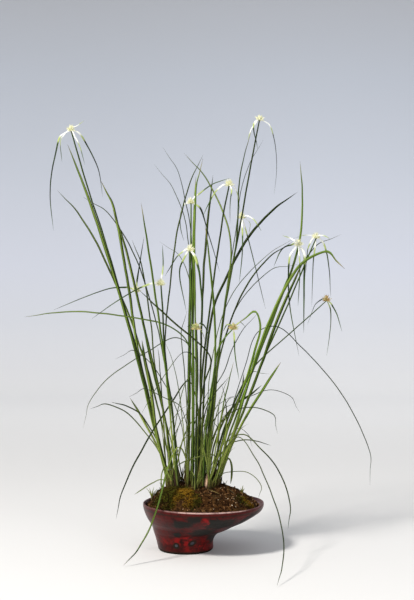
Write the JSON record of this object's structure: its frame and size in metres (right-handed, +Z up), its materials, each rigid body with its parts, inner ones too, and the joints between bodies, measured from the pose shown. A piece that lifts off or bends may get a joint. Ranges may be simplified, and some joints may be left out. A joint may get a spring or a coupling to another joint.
{
  "type": "potted star sedge",
  "caption": "Tall tuft of star sedge with arching grassy leaves and white-bracted flower heads, in a small round-footed glazed pot whose bowl leans out to one side",
  "frame": {"origin": "Centre of the pot foot's flat underside, on the surface that the pot stands on", "axes": "+Z is up along the foot's axis, +X points to the side on which the bowl reaches out over the foot, and -Y is the front"},
  "size_m": [0.3354, 0.2457, 0.4364],
  "materials": {
    "glaze": "crimson glaze with black-green patches, satin gloss",
    "soil": "crumbly dark brown soil with pale grains",
    "moss": "low moss, green to orange",
    "leaf": "satin green blades, paler at the root",
    "stem": "satin light green",
    "flower": "cream clusters, bracts white at the base and green at the tip"
  },
  "bodies": {
    "root": {"flower_head_1": "flower", "flower_head_10": "flower", "flower_head_11": "flower", "flower_head_12": "flower", "flower_head_13": "flower", "flower_head_2": "flower", "flower_head_3": "flower", "flower_head_4": "flower", "flower_head_5": "flower", "flower_head_6": "flower", "flower_head_7": "flower", "flower_head_8": "flower", "flower_head_9": "flower", "leaf_front": "leaf", "leaf_left_1": "leaf", "leaf_left_2": "leaf", "leaf_left_3": "leaf", "leaf_left_4": "leaf", "leaf_left_5": "leaf", "leaf_left_6": "leaf", "leaf_left_7": "leaf", "leaf_middle_1": "leaf", "leaf_middle_2": "leaf", "leaf_right_1": "leaf", "leaf_right_2": "leaf", "leaf_right_3": "leaf", "leaf_right_4": "leaf", "leaf_right_5": "leaf", "leaf_right_6": "leaf", "leaf_right_7": "leaf", "moss": "moss", "pot": "glaze", "shoot_left_1": "leaf", "shoot_left_2": "leaf", "shoot_left_3": "leaf", "shoot_left_4": "leaf", "shoot_middle_1": "leaf", "shoot_middle_2": "leaf", "shoot_middle_3": "leaf", "shoot_middle_4": "leaf", "shoot_right_1": "leaf", "shoot_right_2": "leaf", "shoot_right_3": "leaf", "shoot_right_4": "leaf", "shoot_right_5": "leaf", "soil": "soil", "stem_1": "stem", "stem_10": "stem", "stem_11": "stem", "stem_12": "stem", "stem_13": "stem", "stem_2": "stem", "stem_3": "stem", "stem_4": "stem", "stem_5": "stem", "stem_6": "stem", "stem_7": "stem", "stem_8": "stem", "stem_9": "stem"}
  },
  "joints": []
}
